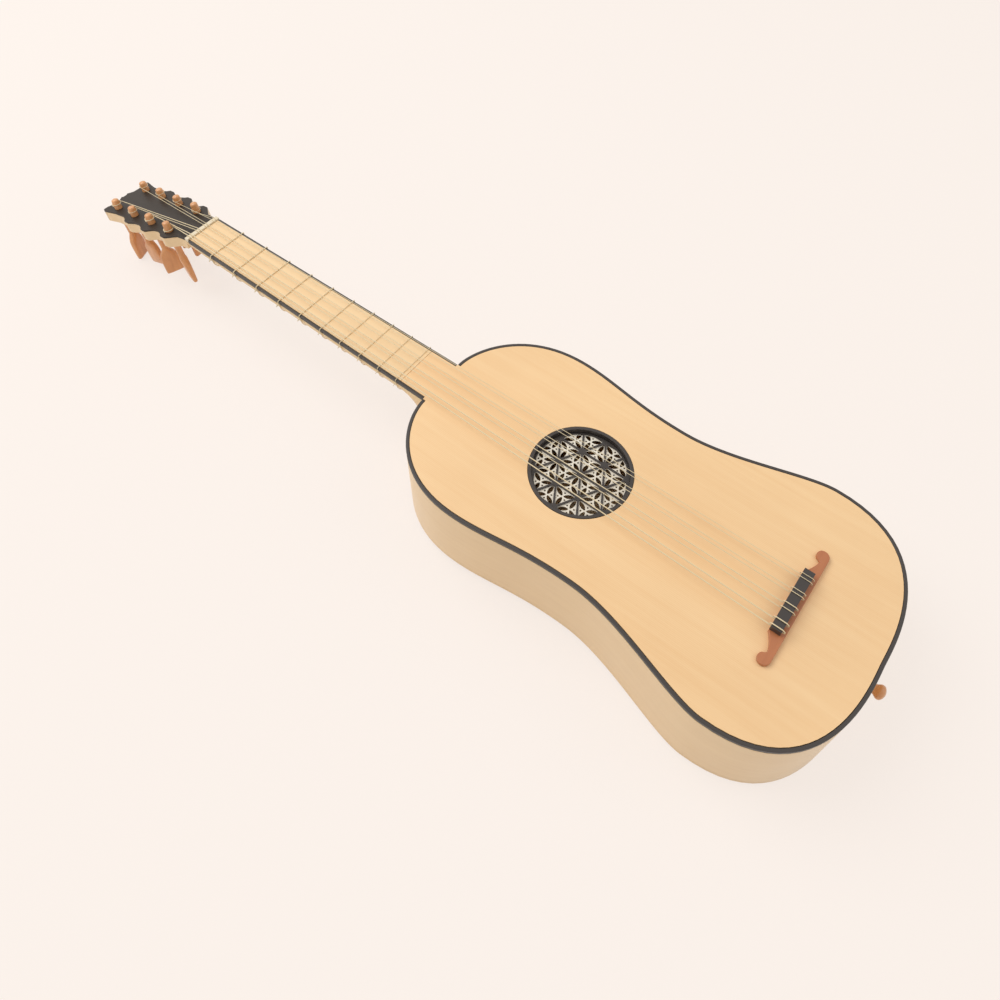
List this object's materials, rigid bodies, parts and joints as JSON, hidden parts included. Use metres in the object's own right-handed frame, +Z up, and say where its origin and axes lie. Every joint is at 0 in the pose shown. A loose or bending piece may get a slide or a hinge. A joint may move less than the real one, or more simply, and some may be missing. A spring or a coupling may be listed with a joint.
{
  "type": "renaissance guitar",
  "caption": "Small waisted guitar with paired gut strings, rear-set turning pegs, tied gut frets, a carved rose in a deep ring, and a tie bridge with scroll ends, lying on its back.",
  "frame": {"origin": "centre of the bounding box on the surface that the guitar lies on", "axes": "+X from the peghead to the tail, +Y to the treble side, +Z up, out of the soundboard; the guitar leans 0.7 degrees down towards its tail, because its peg grips reach lower than its back"},
  "size_m": [0.8188, 0.2098, 0.0871],
  "materials": {
    "spruce_face": "satin",
    "maple": "satin",
    "fingerboard_wood": "satin",
    "ebony": "satin",
    "plum": "satin",
    "boxwood": "gloss",
    "bone": "satin",
    "parchment": "matte",
    "gut": "satin"
  },
  "bodies": {
    "guitar": {"back": "maple", "back_brace_lower": "spruce_face", "back_brace_upper": "spruce_face", "back_linings": "maple", "bridge": "plum", "edge_strip_bass": "ebony", "edge_strip_treble": "ebony", "face_brace_lower": "spruce_face", "face_brace_upper": "spruce_face", "face_linings": "maple", "fingerboard": "fingerboard_wood", "neck": "maple", "neck_block": "maple", "nut": "bone", "peghead": "maple", "peghead_veneer": "ebony", "rib_bass": "maple", "rib_treble": "maple", "rose_lattice": "ebony", "rose_plate": "parchment", "rose_ring": "ebony", "soundboard": "spruce_face", "soundboard_binding": "ebony", "string_1a": "gut", "string_1b": "gut", "string_2a": "gut", "string_2b": "gut", "string_3a": "gut", "string_3b": "gut", "string_4a": "gut", "string_4b": "gut", "tail_block": "maple", "tail_button": "boxwood", "tie_block": "ebony"},
    "tuner_1a": {"peg_1a": "boxwood", "winding_1a": "gut"},
    "tuner_1b": {"peg_1b": "boxwood", "winding_1b": "gut"},
    "tuner_2a": {"peg_2a": "boxwood", "winding_2a": "gut"},
    "tuner_2b": {"peg_2b": "boxwood", "winding_2b": "gut"},
    "tuner_3a": {"peg_3a": "boxwood", "winding_3a": "gut"},
    "tuner_3b": {"peg_3b": "boxwood", "winding_3b": "gut"},
    "tuner_4a": {"peg_4a": "boxwood", "winding_4a": "gut"},
    "tuner_4b": {"peg_4b": "boxwood", "winding_4b": "gut"},
    "tied_fret_1": {"fret_1": "gut"},
    "tied_fret_2": {"fret_2": "gut"},
    "tied_fret_3": {"fret_3": "gut"},
    "tied_fret_4": {"fret_4": "gut"},
    "tied_fret_5": {"fret_5": "gut"},
    "tied_fret_6": {"fret_6": "gut"},
    "tied_fret_7": {"fret_7": "gut"},
    "tied_fret_8": {"fret_8": "gut"},
    "tied_fret_9": {"fret_9": "gut"},
    "tied_fret_10": {"fret_10": "gut"}
  },
  "joints": [
    {"name": "turn_peg_1a", "type": "hinge", "parent": "guitar", "child": "tuner_1a", "pos_m": [-0.30693, 0.017, 0.07669], "axis": [-0.2008, 0, 0.9796], "continuous": true},
    {"name": "turn_peg_1b", "type": "hinge", "parent": "guitar", "child": "tuner_1b", "pos_m": [-0.33603, 0.017, 0.07073], "axis": [-0.2008, 0, 0.9796], "continuous": true},
    {"name": "turn_peg_2a", "type": "hinge", "parent": "guitar", "child": "tuner_2a", "pos_m": [-0.36512, 0.017, 0.06476], "axis": [-0.2008, 0, 0.9796], "continuous": true},
    {"name": "turn_peg_2b", "type": "hinge", "parent": "guitar", "child": "tuner_2b", "pos_m": [-0.39422, 0.017, 0.0588], "axis": [-0.2008, 0, 0.9796], "continuous": true},
    {"name": "turn_peg_3a", "type": "hinge", "parent": "guitar", "child": "tuner_3a", "pos_m": [-0.39422, -0.017, 0.0588], "axis": [-0.2008, 0, 0.9796], "continuous": true},
    {"name": "turn_peg_3b", "type": "hinge", "parent": "guitar", "child": "tuner_3b", "pos_m": [-0.36512, -0.017, 0.06476], "axis": [-0.2008, 0, 0.9796], "continuous": true},
    {"name": "turn_peg_4a", "type": "hinge", "parent": "guitar", "child": "tuner_4a", "pos_m": [-0.33603, -0.017, 0.07073], "axis": [-0.2008, 0, 0.9796], "continuous": true},
    {"name": "turn_peg_4b", "type": "hinge", "parent": "guitar", "child": "tuner_4b", "pos_m": [-0.30693, -0.017, 0.07669], "axis": [-0.2008, 0, 0.9796], "continuous": true},
    {"name": "slide_fret_1", "type": "slide", "parent": "guitar", "child": "tied_fret_1", "axis": [0.9999, 0, -0.0125], "range_m": [-0.002, 0.002]},
    {"name": "slide_fret_2", "type": "slide", "parent": "guitar", "child": "tied_fret_2", "axis": [0.9999, 0, -0.0125], "range_m": [-0.002, 0.002]},
    {"name": "slide_fret_3", "type": "slide", "parent": "guitar", "child": "tied_fret_3", "axis": [0.9999, 0, -0.0125], "range_m": [-0.002, 0.002]},
    {"name": "slide_fret_4", "type": "slide", "parent": "guitar", "child": "tied_fret_4", "axis": [0.9999, 0, -0.0125], "range_m": [-0.002, 0.002]},
    {"name": "slide_fret_5", "type": "slide", "parent": "guitar", "child": "tied_fret_5", "axis": [0.9999, 0, -0.0125], "range_m": [-0.002, 0.002]},
    {"name": "slide_fret_6", "type": "slide", "parent": "guitar", "child": "tied_fret_6", "axis": [0.9999, 0, -0.0125], "range_m": [-0.002, 0.002]},
    {"name": "slide_fret_7", "type": "slide", "parent": "guitar", "child": "tied_fret_7", "axis": [0.9999, 0, -0.0125], "range_m": [-0.002, 0.002]},
    {"name": "slide_fret_8", "type": "slide", "parent": "guitar", "child": "tied_fret_8", "axis": [0.9999, 0, -0.0125], "range_m": [-0.002, 0.002]},
    {"name": "slide_fret_9", "type": "slide", "parent": "guitar", "child": "tied_fret_9", "axis": [0.9999, 0, -0.0125], "range_m": [-0.002, 0.002]},
    {"name": "slide_fret_10", "type": "slide", "parent": "guitar", "child": "tied_fret_10", "axis": [0.9999, 0, -0.0125], "range_m": [-0.002, 0.002]}
  ]
}
